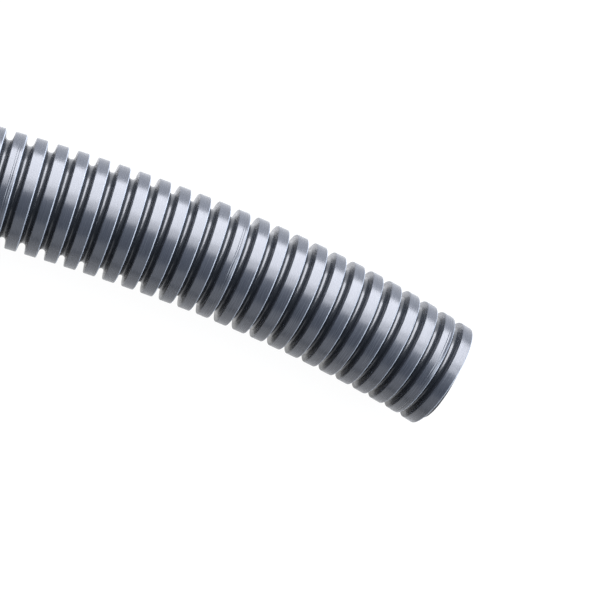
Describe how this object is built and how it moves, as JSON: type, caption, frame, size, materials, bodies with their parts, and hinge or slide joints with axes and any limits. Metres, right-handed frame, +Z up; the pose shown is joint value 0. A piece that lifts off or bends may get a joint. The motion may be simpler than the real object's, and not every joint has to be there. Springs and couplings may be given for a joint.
{
  "type": "corrugated conduit",
  "caption": "Length of round corrugated plastic conduit with parallel flat-crested rings, straight for most of its length and bent sideways at one cut end.",
  "frame": {"origin": "centre of the box round the tube, on the floor it lies on", "axes": "+X along the straight run towards the bent end, +Y level, away from the side the tube bends to, +Z up"},
  "size_m": [1.0018, 0.0378, 0.0212],
  "materials": {
    "polyamide": "moulded grey polyamide, satin sheen"
  },
  "bodies": {
    "root": {"conduit": "polyamide"}
  },
  "joints": []
}
